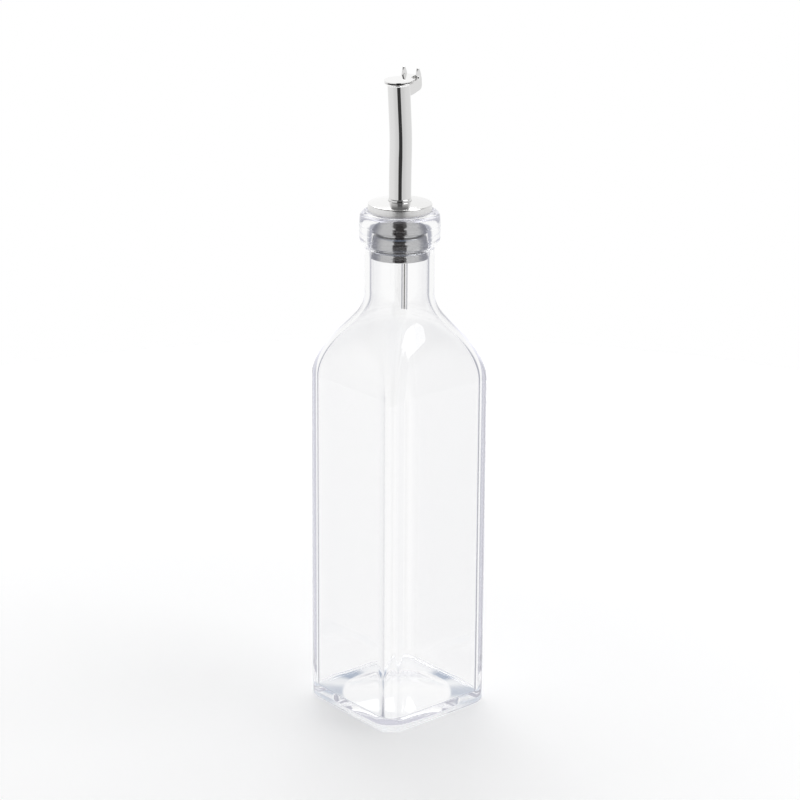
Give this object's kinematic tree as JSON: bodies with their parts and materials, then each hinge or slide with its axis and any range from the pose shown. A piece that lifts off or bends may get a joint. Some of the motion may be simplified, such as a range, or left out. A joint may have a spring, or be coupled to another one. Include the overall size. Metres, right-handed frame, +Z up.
{
  "type": "stopper pourer bottle",
  "caption": "Square clear plastic bottle with a round neck and a lift-out stopper pourer: steel spout, air tube and a hinged flap lid.",
  "frame": {"origin": "middle of the bottle's flat underside", "axes": "+Z up along the bottle's axis; the flat sides face X and Y; the spout pours 20 degrees to the +X side of -Y"},
  "size_m": [0.06, 0.06, 0.289],
  "materials": {
    "clear_plastic": "clear glossy moulded plastic",
    "silicone": "dark grey silicone, semi-gloss",
    "steel": "polished stainless steel"
  },
  "bodies": {
    "bottle": {"bottle_body": "clear_plastic", "bottle_base": "clear_plastic"},
    "pourer": {"stopper": "silicone", "collar": "steel", "spout_tube": "steel", "vent_tube": "steel", "hinge_bracket": "steel", "hinge_pin": "steel"},
    "lid": {"lid": "steel"}
  },
  "joints": [
    {"name": "pourer_lift", "type": "slide", "parent": "bottle", "child": "pourer", "axis": [0, 0, 1], "range_m": [0, 0.06]},
    {"name": "lid_hinge", "type": "hinge", "parent": "pourer", "child": "lid", "pos_m": [-0.00313, 0.00861, 0.28476], "axis": [-0.9397, -0.342, 0], "range_deg": [0, 100]}
  ]
}
